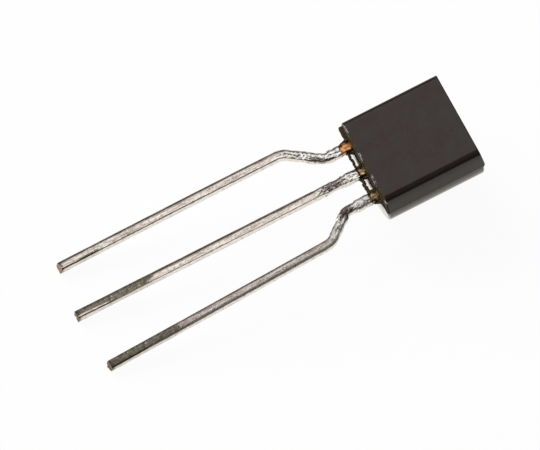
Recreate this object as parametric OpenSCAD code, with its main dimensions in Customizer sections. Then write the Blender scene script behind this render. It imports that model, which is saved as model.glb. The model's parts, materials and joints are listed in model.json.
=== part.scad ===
/* [Case] */
// Length of the case along the leads, at the parting line
case_l = 4.57; // [4.4:0.01:5.2]
// Width of the marked flat
flat_w = 4.03; // [3.7:0.01:4.3]
// Height of the flat above the parting plane
front_h = 1.21; // [1.1:0.01:1.5]
// Radius of the round back
back_r = 2.22; // [2.2:0.01:2.5]
// Depth of the round back's axis below the parting plane
back_axis = 0.25; // [0.1:0.01:0.35]
// Draft of the front half's long sides, in degrees
side_draft = 7.3; // [2:0.1:14]
// Draft of the front half's two ends, in degrees
front_end_draft = 1.3; // [1:0.1:8]
// Draft of the round back's two ends, in degrees
back_end_draft = 1; // [0.5:0.1:5]
// How far the back stands out beyond the front at the end with the leads
lead_end_step = 0.06; // [0.02:0.01:0.12]
// How far the front stands out beyond the back at the top end
top_end_step = 0.02; // [0.01:0.01:0.06]
// Shift between the mould halves across the leads
mismatch_y = 0.015; // [0:0.005:0.06]
// Radius along the flat's long edges
flat_edge_r = 0.28; // [0.1:0.02:0.4]
// Radius along the flat's two end edges
flat_end_r = 0.06; // [0.04:0.01:0.2]
// Radius round the back's end edges
back_edge_r = 0.1; // [0.04:0.02:0.2]
// Width of the broken gate's scar on the top end
gate_w = 0.7; // [0.4:0.05:1]
// Height of the gate's scar, down from the parting plane
gate_h = 0.3; // [0.15:0.05:0.5]
// How far the gate's scar stands out of the top end
gate_rise = 0.04; // [0.02:0.01:0.08]

/* [Leads] */
// Pitch of the leads where they leave the case
pitch = 1.27; // [1.2:0.01:1.4]
// Thickness of the copper strip
lead_t = 0.38; // [0.3:0.01:0.42]
// Width of a lead's copper along its length
lead_w = 0.38; // [0.3:0.01:0.42]
// Width of a lead's copper near the case
root_w = 0.45; // [0.43:0.01:0.6]
// Length of the wide root outside the case, along the lead
root_l = 1.05; // [0.7:0.05:1.05]
// Radius of the strip's stamped edges
strip_edge_r = 0.05; // [0.02:0.01:0.1]
// Thickness of the tin coat
tin_t = 0.02; // [0.01:0.005:0.04]
// Radius at a lead's first bend, next to the case
knee_r = 0.5; // [0.3:0.05:0.6]
// Radius at a lead's second bend
elbow_r = 0.8; // [0.5:0.05:1]
// Swelling of the strip all round where it is bent
bend_swell = 0.004; // [0.002:0.001:0.01]

/* [Collector lead] */
// Distance from the case to the bend's corner
collector_knee = 1.28; // [1.26:0.02:1.5]
// Angle of the outward jog, in degrees
collector_jog = 35.5; // [25:0.5:45]
// Distance of the formed lead from the middle of the case
collector_spread = 2.33; // [2.2:0.01:2.7]
// How much shorter the collector lead is cut than the base lead
collector_short = 0.38; // [0.1:0.02:2]
// Slant of the sheared tip, in degrees
collector_cut = 20; // [0:1:25]
// Bare copper between the case and the tin
collector_bare = 0.45; // [0.1:0.05:0.9]

/* [Base lead] */
// Reach of the tip from the case
base_reach = 13.78; // [11:0.02:15]
// Slant of the sheared tip, in degrees
base_cut = 3; // [0:1:8]
// Bare copper between the case and the tin
base_bare = 0.3; // [0.1:0.05:0.9]

/* [Emitter lead] */
// Distance from the case to the bend's corner
emitter_knee = 1.58; // [1.3:0.02:1.7]
// Angle of the outward jog, in degrees
emitter_jog = 40; // [30:0.5:45]
// Distance of the formed lead from the middle of the case, at its elbow
emitter_spread = 2.22; // [2.15:0.01:2.6]
// Angle by which the formed lead splays outward, in degrees
emitter_splay = 2.25; // [0:0.25:5]
// How much shorter the emitter lead is cut than the base lead
emitter_short = 0.18; // [0.1:0.02:2]
// Slant of the sheared tip, in degrees
emitter_cut = 8; // [0:1:25]
// Bare copper between the case and the tin
emitter_bare = 0.25; // [0.1:0.05:0.9]

/* [Frame inside the case] */
// Resin beyond the flag at the case's top end
end_cover = 0.85; // [0.6:0.05:1.1]
// Resin beside the flag and the emitter post
side_cover = 0.42; // [0.3:0.02:0.5]
// Gap between the stamped pieces
frame_gap = 0.38; // [0.3:0.01:0.45]
// Depth of the base post in the case
base_post_l = 1.1; // [0.95:0.05:1.2]
// Width of the base post's bonding pad
base_pad_w = 0.74; // [0.66:0.02:0.9]
// Depth of the emitter post in the case
emitter_post_l = 2.5; // [2.2:0.05:2.8]
// Width of the emitter post's bonding pad
emitter_pad_w = 0.84; // [0.7:0.02:0.9]
// Length of a bonding pad along the lead
pad_l = 0.5; // [0.35:0.05:0.6]
// Distance from the case's end face to the locking ears
ear_x = 0.24; // [0.15:0.01:0.3]
// Length of a locking ear along the lead
ear_l = 0.22; // [0.1:0.02:0.24]
// Reach of a locking ear beyond the lead's side
ear_w = 0.13; // [0.05:0.01:0.15]
// Radius of the resin lock hole in the flag
lock_r = 0.25; // [0.1:0.01:0.32]
// Copper between the lock hole and the flag's outer edges
lock_edge = 0.3; // [0.15:0.05:0.4]
// Radius of the stamped corners
corner_r = 0.08; // [0.03:0.01:0.1]

/* [Die and wires] */
// Side of the square silicon die
die_side = 0.42; // [0.3:0.02:0.5]
// Thickness of the die
die_t = 0.2; // [0.12:0.01:0.24]
// Thickness of the die's conductive adhesive
attach_t = 0.025; // [0.015:0.005:0.04]
// Width of the adhesive that shows round the die
attach_rim = 0.04; // [0.02:0.01:0.08]
// Distance from the flag's lower edge to the middle of the die
die_up = 1; // [0.5:0.05:1.1]
// Distance from the flag's inner edge to the middle of the die
die_in = 0.75; // [0.5:0.05:0.9]
// Distance of each bonding pad from the middle of the die, both ways
pad_offset = 0.1; // [0.05:0.01:0.12]
// Diameter of the bond wires
wire_d = 0.03; // [0.025:0.005:0.05]
// Radius of the ball at the die
ball_r = 0.045; // [0.03:0.005:0.055]
// Height of the ball with its neck
ball_h = 0.05; // [0.03:0.01:0.07]
// Radius of the stitch on the post
stitch_r = 0.045; // [0.03:0.005:0.055]
// Thickness of the stitch
stitch_t = 0.015; // [0.01:0.005:0.02]
// Straight rise of the wire above the ball
wire_rise = 0.08; // [0.03:0.01:0.15]
// Radius at the top of the wire's loop
loop_r = 0.12; // [0.08:0.01:0.15]
// Swelling of the wire all round where it is looped
wire_swell = 0.001; // [0.0005:0.0005:0.002]

/* [Resin flash] */
// Thickness of the flash left in the corners between the leads and the case
web_t = 0.3; // [0.1:0.02:0.3]
// Width of the flash along the case's end, beside a lead
web_w = 0.16; // [0.08:0.01:0.18]
// Reach of the flash along the collector lead, on its outer and inner sides
collector_web = [0.62, 0.34]; // [0.2:0.02:0.68]
// Reach of the flash along the base lead, on the collector's and the emitter's sides
base_web = [0.34, 0.42]; // [0.2:0.02:0.68]
// Reach of the flash along the emitter lead, on its inner and outer sides
emitter_web = [0.62, 0.3]; // [0.2:0.02:0.68]

/* [Hidden] */
$fn = 64;
RUN = 0;
BEND = 1;
EPS = 0.005;
LEFT = 1;
RIGHT = -1;

// All pieces are drawn in the device's own frame: +X runs from the lead tips to the top of the
// case, +Z is the flat's normal, the parting plane is z = 0 and the leads leave the case at x = 0.
front_w = flat_w + 2 * front_h * tan(side_draft);
front_end_inset = front_h * tan(front_end_draft);
finished_t = lead_t + 2 * tin_t;
collector_reach = base_reach - collector_short;
emitter_reach = base_reach - emitter_short;

// The flag takes the room that the two posts and the resin leave
flag_x0 = base_post_l + frame_gap;
flag_x1 = case_l - end_cover;
emitter_pad_y0 = -front_w / 2 + side_cover;
flag_y0 = emitter_pad_y0 + emitter_pad_w + frame_gap;
flag_y1 = front_w / 2 - side_cover;

die_x = flag_x0 + die_up;
die_y = flag_y0 + die_in;
die_z = lead_t + attach_t;
base_bond_at = [base_post_l - pad_l / 2, 0];
emitter_bond_at = [emitter_post_l - pad_l / 2, emitter_pad_y0 + emitter_pad_w / 2];
base_pad_at = [die_x - pad_offset, die_y + pad_offset];
emitter_pad_at = [die_x + pad_offset, die_y - pad_offset];

// Rest: the case's rounded end edge and the longest lead's tip both touch the ground
edge_inset = (back_r - back_edge_r) * tan(back_end_draft) + back_edge_r / cos(back_end_draft);
edge_x = edge_inset - lead_end_step;
far_edge_x = case_l - top_end_step - edge_inset;
edge_depth = back_axis + back_r - back_edge_r;
base_tip_x = base_reach + (lead_t / 2 + tin_t) * tan(base_cut);
rest_run = base_tip_x + edge_x;
rest_drop = edge_depth - tin_t;
rest_tilt = atan(rest_drop / rest_run) + asin(back_edge_r / norm([rest_run, rest_drop]));

// Box of the resting part, from which its origin at the middle of the base follows
emitter_tip_y = emitter_spread + (emitter_reach - elbow_x(emitter_knee, emitter_jog, emitter_spread))
    * tan(emitter_splay);
base_top_x = base_reach - (lead_t / 2 + tin_t) * tan(base_cut);
low_x = -base_top_x * cos(rest_tilt) - (lead_t + tin_t) * sin(rest_tilt);
high_x = far_edge_x * cos(rest_tilt) + edge_depth * sin(rest_tilt) + back_edge_r;
low_y = -emitter_tip_y - (lead_w / 2 + tin_t) * cos(emitter_splay);
high_y = max(collector_spread + lead_w / 2 + tin_t, back_r + mismatch_y);
low_z = -base_tip_x * sin(rest_tilt) - tin_t * cos(rest_tilt);

// Where a formed lead's two straight runs would meet its jog
function elbow_x(knee, jog, spread) = knee + (spread - pitch) / tan(jog);

// Runs and bends of a formed lead, from its start inside or outside the case to its tip
function formed_steps(start, knee, jog, spread, splay, reach) =
    let (
        knee_cut = knee_r * tan(jog / 2),
        elbow_cut = elbow_r * tan((jog - splay) / 2),
        jog_l = (spread - pitch) / sin(jog)
    )
    [
        [RUN, knee - knee_cut - start],
        [BEND, knee_r, jog],
        [RUN, jog_l - knee_cut - elbow_cut],
        [BEND, elbow_r, splay - jog],
        [RUN, (reach - elbow_x(knee, jog, spread)) / cos(splay) - elbow_cut]
    ];

function step_l(step) = step[0] == RUN ? step[1] : step[1] * abs(step[2]) * PI / 180;

function step_end(step) =
    step[0] == RUN ? [step[1], 0, 0]
    : step[1] * [sin(abs(step[2])), sign(step[2]) * (1 - cos(step[2])), 0];

// A polygon's corner, as [first tangent point, second tangent point, centre]
function corner_arc(before, at, after, r) =
    let (
        u = (before - at) / norm(before - at),
        v = (after - at) / norm(after - at),
        half = acos(u * v) / 2
    )
    [at + u * r / tan(half), at + v * r / tan(half), at + (u + v) / norm(u + v) * r / sin(half)];

// A convex outline with true arcs of the given radii at its corners
module rounded(points, radii) {
    n = len(points);
    arcs = [
        for (i = [0:n - 1]) corner_arc(points[(i + n - 1) % n], points[i], points[(i + 1) % n], radii[i])
    ];
    polygon([for (i = [0:n - 1]) each radii[i] > 0 ? [arcs[i][0], arcs[i][1]] : [points[i]]]);
    for (i = [0:n - 1]) {
        if (radii[i] > 0) translate(arcs[i][2]) circle(radii[i]);
    }
}

module rounded_rect(low, high, r) {
    rounded([low, [high[0], low[1]], high, [low[0], high[1]]], [r, r, r, r]);
}

// The part lying on its round back, tipped towards the lead tips
module resting() {
    translate([-(low_x + high_x) / 2, -(low_y + high_y) / 2, -low_z])
        rotate([0, -rest_tilt, 0]) children();
}

module along_x(l) rotate([90, 0, 90]) linear_extrude(l) children();

// Section of the strip with its coat of tin: its width runs across the lead and the copper's
// thickness up from the parting plane
module strip_section(w, coat) {
    r = strip_edge_r + coat;
    rounded_rect([-w / 2 - coat, -coat], [w / 2 + coat, lead_t + coat], r);
}

// One straight run of tinned strip from the distance s along the lead, wide up to root_l and
// narrow beyond. Each end reaches a little way into its neighbour.
module strip_run(l, s) {
    wide = max(0, min(l, root_l - s));
    if (wide > 0) translate([-EPS, 0, 0]) along_x(wide + 2 * EPS) strip_section(root_w, tin_t);
    if (wide < l) translate([wide - EPS, 0, 0]) along_x(l - wide + 2 * EPS) strip_section(lead_w, tin_t);
}

module strip_bend(r, angle, s) {
    mirror([0, angle < 0 ? 1 : 0, 0])
        translate([0, r, 0])
            rotate([0, 0, -90])
                rotate_extrude(angle = abs(angle))
                    translate([r, 0]) strip_section(s < root_l ? root_w : lead_w, tin_t + bend_swell);
}

// The tinned strip swept along its runs and bends, heading along +X from the origin
module strip(steps, s, i = 0) {
    if (i < len(steps)) {
        step = steps[i];
        turn = step[0] == BEND ? step[2] : 0;
        if (step[0] == RUN) strip_run(step[1], s);
        else strip_bend(step[1], turn, s);
        translate(step_end(step)) rotate([0, 0, turn]) strip(steps, s + step_l(step), i + 1);
    }
}

// The bare root, from the case to a little way into the tin
module bare_root(y, bare) {
    translate([-bare - EPS, y, 0]) along_x(bare + 2 * EPS) strip_section(root_w, 0);
}

// The waste beyond a sheared tip, whose lower edge reaches further out
module tip_waste(reach, y, heading, cut) {
    block = 3 * finished_t;
    translate([-reach, y, lead_t / 2])
        rotate([0, 0, heading])
            rotate([0, -cut, 0])
                translate([0, -block / 2, -block / 2]) cube(block);
}

module collector_strip() {
    difference() {
        translate([-collector_bare, pitch, 0])
            mirror([1, 0, 0])
                strip(formed_steps(collector_bare, collector_knee, collector_jog, collector_spread, 0,
                    collector_reach + finished_t), collector_bare);
        tip_waste(collector_reach, collector_spread, 180, collector_cut);
    }
    bare_root(pitch, collector_bare);
}

module base_strip() {
    difference() {
        translate([-base_bare, 0, 0])
            mirror([1, 0, 0]) strip([[RUN, base_reach + finished_t - base_bare]], base_bare);
        tip_waste(base_reach, 0, 180, base_cut);
    }
    bare_root(0, base_bare);
}

module emitter_strip() {
    difference() {
        translate([-emitter_bare, -pitch, 0])
            rotate([0, 0, 180])
                strip(formed_steps(emitter_bare, emitter_knee, emitter_jog, emitter_spread, emitter_splay,
                    emitter_reach + finished_t), emitter_bare);
        tip_waste(emitter_reach, -emitter_tip_y, 180 + emitter_splay, emitter_cut);
    }
    bare_root(-pitch, emitter_bare);
}

// Locking ears on both sides of a lead, just inside the case
module ears(y) {
    reach = root_w / 2 + ear_w;
    translate([ear_x, y]) rounded_rect([0, -reach], [ear_l, reach], corner_r);
}

// A lead's stem inside the case, up to the distance l from the end face, with its ears
module stem(y, l) {
    translate([0, y - root_w / 2]) square([l, root_w]);
    ears(y);
}

module flag_outline() {
    difference() {
        union() {
            rounded_rect([flag_x0, flag_y0], [flag_x1, flag_y1], corner_r);
            stem(pitch, flag_x0 + corner_r);
        }
        translate([flag_x1 - lock_edge - lock_r, flag_y1 - lock_edge - lock_r]) circle(lock_r);
    }
}

module base_post_outline() {
    rounded_rect([base_post_l - pad_l, -base_pad_w / 2], [base_post_l, base_pad_w / 2], corner_r);
    stem(0, base_post_l - pad_l / 2);
}

module emitter_post_outline() {
    rounded_rect([emitter_post_l - pad_l, emitter_pad_y0],
        [emitter_post_l, emitter_pad_y0 + emitter_pad_w], corner_r);
    stem(-pitch, emitter_post_l - pad_l / 2);
}

module stamped() linear_extrude(lead_t) children();

module collector_metal() {
    collector_strip();
    stamped() flag_outline();
}

module base_metal() {
    base_strip();
    stamped() base_post_outline();
}

module emitter_metal() {
    emitter_strip();
    stamped() emitter_post_outline();
}

module attach_pad() {
    half = die_side / 2 + attach_rim;
    translate([die_x, die_y, lead_t])
        linear_extrude(attach_t) rounded_rect([-half, -half], [half, half], attach_rim);
}

module die_block() {
    translate([die_x - die_side / 2, die_y - die_side / 2, die_z]) cube([die_side, die_side, die_t]);
}

// A ball-and-stitch wire from a pad on the die to a post: up from the ball, over the loop
// and down along the tangent that lands on the post
module bond_wire(from, to) {
    span = norm(to - from);
    top = die_z + die_t;
    loop_z = top + ball_h + wire_rise;
    drop = loop_z - lead_t;
    centre_to_end = norm([span - loop_r, drop]);
    slope = atan(drop / (span - loop_r)) + asin(loop_r / centre_to_end);
    slope_l = sqrt(centre_to_end ^ 2 - loop_r ^ 2);
    heading = atan2(to[1] - from[1], to[0] - from[0]);
    difference() {
        translate([from[0], from[1], 0]) rotate([0, 0, heading]) {
            translate([0, 0, top]) cylinder(h = ball_h / 2, r = ball_r);
            translate([0, 0, top + ball_h / 2]) cylinder(h = ball_h / 2, r1 = ball_r, r2 = wire_d);
            translate([0, 0, top + ball_h / 2]) cylinder(h = ball_h / 2 + wire_rise + EPS, d = wire_d);
            translate([loop_r, 0, loop_z])
                rotate([90, 0, 0])
                    rotate([0, 0, 90 - slope])
                        rotate_extrude(angle = 90 + slope)
                            translate([loop_r, 0]) circle(wire_d / 2 + wire_swell);
            translate([loop_r + loop_r * sin(slope), 0, loop_z + loop_r * cos(slope)])
                rotate([0, 90 + slope, 0])
                    translate([0, 0, -EPS]) cylinder(h = slope_l + 2 * EPS, d = wire_d);
            translate([span, 0, lead_t]) cylinder(h = stitch_t, r = stitch_r);
        }
        translate([to[0], to[1], lead_t - wire_d]) cylinder(h = wire_d, r = loop_r);
    }
}

module inner_wires() {
    bond_wire(base_pad_at, base_bond_at);
    bond_wire(emitter_pad_at, emitter_bond_at);
}

// The front half: long sides and ends drafted towards the flat, every flat edge rounded
module front_half() {
    side = front_w / 2;
    inset = front_end_inset;
    intersection() {
        along_x(case_l)
            rounded([[-side, 0], [side, 0], [flat_w / 2, front_h], [-flat_w / 2, front_h]],
                [0, 0, flat_edge_r, flat_edge_r]);
        translate([0, side, 0])
            rotate([90, 0, 0])
                linear_extrude(2 * side)
                    rounded([[0, 0], [case_l, 0], [case_l - inset, front_h], [inset, front_h]],
                        [0, 0, flat_end_r, flat_end_r]);
    }
}

// The round back: a drum with drafted ends and rounded end edges, cut off at the parting plane.
// Its axis lies deeper, so it is widest a little below the parting line.
module back_half() {
    inset = back_r * tan(back_end_draft);
    back_l = case_l + lead_end_step - top_end_step;
    difference() {
        translate([-lead_end_step, mismatch_y, -back_axis])
            rotate([90, 0, 90])
                rotate_extrude()
                    rounded([[0, 0], [back_r, inset], [back_r, back_l - inset], [0, back_l]],
                        [0, back_edge_r, back_edge_r, 0]);
        translate([-case_l, -2 * back_r, 0]) cube([3 * case_l, 4 * back_r, 2 * back_r]);
    }
}

// What the runner left on the top end when it was broken off
module gate_scar() {
    root = case_l - top_end_step - back_edge_r;
    translate([root, -gate_w / 2, -gate_h]) cube([back_edge_r + gate_rise, gate_w, gate_h]);
}

// A web of flash on one side of a lead: it tapers from the end face along the lead
module web(side, reach) {
    inner = root_w / 2 - EPS;
    outer = root_w / 2 + web_w;
    mirror([0, side == LEFT ? 0 : 1])
        polygon([
            [front_end_inset, inner], [front_end_inset, outer], [-lead_end_step, outer],
            [-reach, root_w / 2 + tin_t], [-reach, inner]
        ]);
}

module web_pair(y, reaches) {
    translate([0, y, 0]) linear_extrude(web_t) {
        web(LEFT, reaches[0]);
        web(RIGHT, reaches[1]);
    }
}

module moulded_case() {
    color("#3a3532") resting() difference() {
        union() {
            front_half();
            back_half();
            gate_scar();
            web_pair(pitch, collector_web);
            web_pair(0, base_web);
            web_pair(-pitch, emitter_web);
        }
        collector_metal();
        base_metal();
        emitter_metal();
        attach_pad();
        die_block();
        inner_wires();
    }
}

module collector_lead() color("#b9b0a8") resting() collector_metal();

module base_lead() color("#b9b0a8") resting() base_metal();

module emitter_lead() color("#b9b0a8") resting() emitter_metal();

module silicon_die() color("#6e7480") resting() die_block();

module die_attach() color("#a9a9ad") resting() attach_pad();

module base_bond_wire() color("#d9b24c") resting() bond_wire(base_pad_at, base_bond_at);

module emitter_bond_wire() color("#d9b24c") resting() bond_wire(emitter_pad_at, emitter_bond_at);

moulded_case();
collector_lead();
base_lead();
emitter_lead();
silicon_die();
die_attach();
base_bond_wire();
emitter_bond_wire();
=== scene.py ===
import json
import math

import bmesh
import bpy
from mathutils import Matrix, Vector, noise


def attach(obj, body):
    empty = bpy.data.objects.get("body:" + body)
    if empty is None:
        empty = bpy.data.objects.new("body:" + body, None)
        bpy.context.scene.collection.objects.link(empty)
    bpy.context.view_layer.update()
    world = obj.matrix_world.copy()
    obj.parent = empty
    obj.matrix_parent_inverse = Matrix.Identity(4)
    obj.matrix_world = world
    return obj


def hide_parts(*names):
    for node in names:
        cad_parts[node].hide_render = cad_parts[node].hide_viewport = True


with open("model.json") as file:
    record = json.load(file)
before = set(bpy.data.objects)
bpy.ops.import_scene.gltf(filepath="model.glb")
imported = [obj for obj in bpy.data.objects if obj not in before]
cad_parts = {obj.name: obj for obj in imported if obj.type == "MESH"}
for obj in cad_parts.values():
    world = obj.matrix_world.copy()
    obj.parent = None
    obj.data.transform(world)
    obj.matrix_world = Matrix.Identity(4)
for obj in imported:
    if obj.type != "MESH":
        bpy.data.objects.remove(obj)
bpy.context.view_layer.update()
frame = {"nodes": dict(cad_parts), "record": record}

# Sizes are millimetres in the device's own frame, as in the part's source: +X runs from the lead
# tips to the top of the case, +Z is the flat's normal, and the leads leave the case at x = 0. The
# case's two halves meet in the parting plane, z = 0. Drafts and slants are degrees.
MM = 0.001

# Case
CASE_L = 4.57
FLAT_W = 4.03
FRONT_H = 1.21
BACK_R = 2.22
BACK_AXIS = 0.25      # how far below the parting plane the round back's axis lies
MISMATCH_Y = 0.015    # how far the back half is shifted towards +Y
GROOVE = 0.014        # width and depth of the fine line where the halves meet

# Front half
SIDE_DRAFT = 8.7
SIDE_CROWN = 0.018    # how far its long sides bulge
LEAD_END_DRAFT = 1.3
TOP_END_DRAFT = 5.1
FLAT_EDGE = (0.24, 0.15)  # how far a long side rolls over into the flat, across and down
FLAT_END = (0.06, 0.06)  # the same for an end
CORNER_R = 0.04
LIP_INSET = 0.1       # how far the top end's lower edge is drawn in
LIP_ABOVE = 0.12      # height above the parting plane where that begins
LIP_BELOW = 0.14      # how far the front half runs on below the plane, into the back half
PLUG_INSET = 0.08     # how much smaller it is there, but for the top end

# Back half
BACK_EDGE_R = 0.1
BACK_END_DRAFT = 1
BACK_LEAN = 2.2       # the end with the leads also slants inwards as it goes down
LEAD_END_REACH = 0.06  # how far that end stands out past x = 0
TOP_END_REACH = 0.05  # how far the top end stands out past CASE_L
END_RISE = 0.11       # depth over which the top end comes out to its full length
END_RADII = (0.27, 0.4, 0.9, 1.5)  # where the rings lie on an end face

# Scar where the moulding gate was broken off, on the back half's top end
GATE_W = 0.7
GATE_H = 0.3
GATE_RISE = 0.035
GATE_TEAR = 0.6       # unevenness of its face, as a share of GATE_RISE
GATE_ROUND = 0.35     # how far its rim is worn down, likewise
GATE_RIM = (0.35, 0.5)  # where that wear begins and ends, as shares of its size
GATE_GRAIN = 7        # how often its noise changes over its width

# Torn webs of flash in the corners between the leads and the case's end
WEB_T = 0.3           # height at the case
WEB_W = 0.15          # width at the case, from the lead's root
WEB_TIP_W = 0.02      # width at the far end
WEB_FALL = 0.45       # share of its height that a web loses towards its far end
WEB_BELLY = 0.018     # how far its side bulges
WEB_TEAR = (0.035, 0.02)  # how far its side is torn, broadly and finely
WEB_TEAR_ELSEWHERE = (0.5, 0.4)  # shares of that along the lead and at its top
WEB_CALM = 0.06       # width below which the tearing fades
WEB_GRAIN = 7         # how often the broad noise changes in a millimetre
WEB_FINE = 2.7        # how much finer the fine noise is
WEB_ROOT = 0.09       # how far it runs on into the case
WEB_OVERLAP = 0.04    # how far it runs on into the lead
WEB_SKEW = 0.01       # keeps its corners at the lead off its other planes

# Torn strips of flash between two leads, off the case's end: where each begins and ends in y, how
# far out it lies, half its thickness, and its noise's seed
BRIDGES = (
    dict(start=1.1, end=0.1, reach=0.26, half_t=0.06, seed=1),
    dict(start=-0.1, end=-1.1, reach=0.29, half_t=0.085, seed=2),
)
BRIDGE_Z = 0.17       # height of its middle
BRIDGE_HALF_H = 0.11
BRIDGE_WANDER = 0.05  # how far it wanders in and out
BRIDGE_THINNING = 0.7  # how much its thickness changes along it
BRIDGE_TEAR = 0.4     # how uneven its surface is
BRIDGE_GRAIN = 5      # how often it wanders over its length
BRIDGE_FINE = 3       # how much finer its second noise is
BRIDGE_TEAR_GRAIN = 14  # how often its surface changes over its length

# Flash beside the collector lead, as thick as the strip
FLASH_REACH = 0.11    # how far it stands out of the end
FLASH_ROOT = 0.05     # how far it runs on into the case
FLASH_MARGIN = 0.03   # how far it stops short of the case's side
FLASH_TEAR = 0.012
FLASH_GRAIN = (6, 2, 4)  # how often its noise changes across and up, and its seed
FLASH_SKIN = 0.001    # what it lacks of the strip's thickness above and below

# Leads
PITCH = 1.27
LEAD_T = 0.38
LEAD_W = 0.38
ROOT_W = 0.45
ROOT_L = 1.05
ROOT_BLEND = (-0.03, 0.09)  # where the root narrows, from ROOT_L
TIN_T = 0.02
TIN_RISE = 0.05       # half the length over which the tin's edge rises
TIN_SINK = 0.004      # how much deeper the whole surface lies, to leave room for its lumps
THICK_LUMPS = (0.05, 0.022)  # height of the broad and the fine lumps in thick tin
THIN_LUMPS = (0.003, 0.0025)  # the same everywhere
LUMPS_RISE = (-0.1, 0.25)  # where the thick tin sets in, from the end of the bare copper
LUMPS_GRAIN = (2.4, 4)  # how often they change in a millimetre, along and across the lead
LUMPS_FINE = 3.3      # how much finer the fine ones are
ROLL_GRAIN = (0.55, 1.9)  # how often the roll changes in a millimetre, broadly and finely
ROLL_START = 1.5      # length over which it sets in
BURR_H = (0.12, -0.02)  # height at which the burr begins, and at which it is full
BURR_L = 0.1          # length over which it grows
BURR_GRAIN = 9
KNEE_R = 0.5
ELBOW_R = 0.8
CUT_BLEND = 0.3       # length over which the rings lean into the slant of the cut
INSIDE = 0.005        # how far the swept strip runs on into the stamped part inside the case

# How far a strip's four edges are rolled over, as (across, down): the lower and the upper edge on
# its +Y side, then the upper and the lower edge on its -Y side
CRISP_EDGES = ((0.07, 0.07), (0.26, 0.14), (0.03, 0.03), (0.05, 0.05))
PLAIN_EDGES = ((0.07, 0.07), (0.23, 0.11), (0.05, 0.05), (0.07, 0.07))
WORN_EDGES = ((0.07, 0.07), (0.21, 0.10), (0.14, 0.09), (0.07, 0.07))

# Colours of the bare copper, as a ramp's stops, and of a cut face, as dark, light and roughness
CLEAN_COPPER = [(0.34, (0.13, 0.045, 0.012)), (0.5, (0.55, 0.22, 0.07)), (0.66, (0.84, 0.52, 0.30))]
STAINED_COPPER = [(0.40, (0.06, 0.032, 0.012)), (0.5, (0.38, 0.23, 0.11)), (0.62, (0.70, 0.54, 0.36))]
CLEAN_CUT = ((0.14, 0.08, 0.045), (0.44, 0.33, 0.22), 0.4)
STAINED_CUT = ((0.03, 0.016, 0.01), (0.24, 0.15, 0.10), 0.4)

# Each lead. Its line: y and side are its place and the way it bends, knee its first bend's
# distance from the case, jog the angle of the run after it, spread the second bend's distance from
# the middle, splay the last run's angle, reach and cut its tip's distance and slant, sway and toe
# how far its middle and its tip stray towards +Y.
# Its form: lean and twist are the degrees by which it is rolled, steadily and wandering, edges its
# rolled edges, burr the burr's length, webs the lengths of the webs on its +Y and -Y sides, and
# seed sets its noise apart.
# Its looks: bare is the length of bare copper, lumpy where the thick tin begins and ends to thin
# out, scorch the burnt patch (its middle and half its length along the lead, then the same round
# it), dull the dull stretch's ends, tail how much further that runs towards +Y, worn its added
# roughness, copper and cut_metal its colours.
LEADS = {
    "collector_lead": dict(
        y=PITCH, side=1, knee=1.28, jog=35.5, spread=2.33, splay=0, reach=13.40, cut=13,
        sway=0.02, toe=-0.034,
        lean=0, twist=3, edges=PLAIN_EDGES, burr=0.01, webs=(0.62, 0.34), seed=3,
        bare=0.5, lumpy=(2.2, 3.6), scorch=(1.45, 0.6, 0.82, 0.2), dull=(11.75, 12.85), tail=-3,
        worn=0.04, copper=CLEAN_COPPER, cut_metal=CLEAN_CUT),
    "base_lead": dict(
        y=0, side=1, reach=13.74, cut=3,
        sway=-0.006, toe=0.011,
        lean=1, twist=4, edges=CRISP_EDGES, burr=0.05, webs=(0.34, 0.42), seed=11,
        bare=0.3, lumpy=(1.7, 2.6), scorch=(1.5, 0.6, 0.70, 0.22), dull=(10.2, 12.35), tail=3,
        worn=0.05, copper=STAINED_COPPER, cut_metal=STAINED_CUT),
    "emitter_lead": dict(
        y=-PITCH, side=-1, knee=1.58, jog=40, spread=2.22, splay=2.25, reach=13.53, cut=8,
        sway=-0.02, toe=0,
        lean=-3, twist=4, edges=WORN_EDGES, burr=0.06, webs=(0.62, 0.3), seed=7,
        bare=0.38, lumpy=(2.2, 3.2), scorch=(1.6, 0.45, 0.66, 0.25), dull=(10.5, 14.5), tail=0,
        worn=0.16, copper=STAINED_COPPER, cut_metal=STAINED_CUT),
}
INNER_NODES = list(LEADS) + ["silicon_die", "die_attach", "base_bond_wire", "emitter_bond_wire"]

# How finely the shapes are divided
SUPPORT = 0.015       # distance of the ring that keeps a flat face's shading flat
LIP_STEPS = 6
WALL_STEPS = 20
FLAT_EDGE_ANGLE = 6   # degrees between the rings of the roll-over into the flat
BACK_EDGE_ANGLE = 9   # the same for the back half's rounded edges
BACK_STEPS = 66
CORNER_STEPS = 6
GATE_CUTS = 9
FLASH_CUTS = 11
WEB_STEPS = 18
WEB_ROWS = 6
BRIDGE_STEPS = 26
BRIDGE_SIDES = 8
STATION = 0.02        # spacing of the rings along a lead
SIDE_STEPS = 9
CAP_RINGS = (0.97, 0.85, 0.65, 0.4, 0.15)  # sizes of the rings on a lead's cut face
CASE_SHARP = 30       # edges sharper than this, in degrees, aren't shaded smooth
LEAD_SHARP = 40

# Epoxy: colours
PURPLE_BLACK = (0.0165, 0.0085, 0.0090)
OLIVE_BLACK = (0.0195, 0.0155, 0.0115)
PALE_GRAIN = (0.026, 0.020, 0.017)
PURPLE_SHINE = (1.0, 0.84, 0.86)
OLIVE_SHINE = (0.99, 0.96, 0.91)
DARK_FLUX = (0.015, 0.009, 0.004)
PALE_FLUX = (0.072, 0.057, 0.034)
RUST = (0.115, 0.072, 0.038)

# Patterns in the epoxy: scale, detail and roughness
GRAIN = (22, 3, 0.6)
SHADE = (2.2, 4, 0.6)
SHINE = (1.1, 3, 0.55)
FLUX_EDGE = (3.2, 3, 0.5)
FLUX_SPECKS = (6, 4, 0.75)
FLUX_BLOTS = (9, 3, 0.7)
RUST_PATCHES = (5, 3, 0.6)

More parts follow.
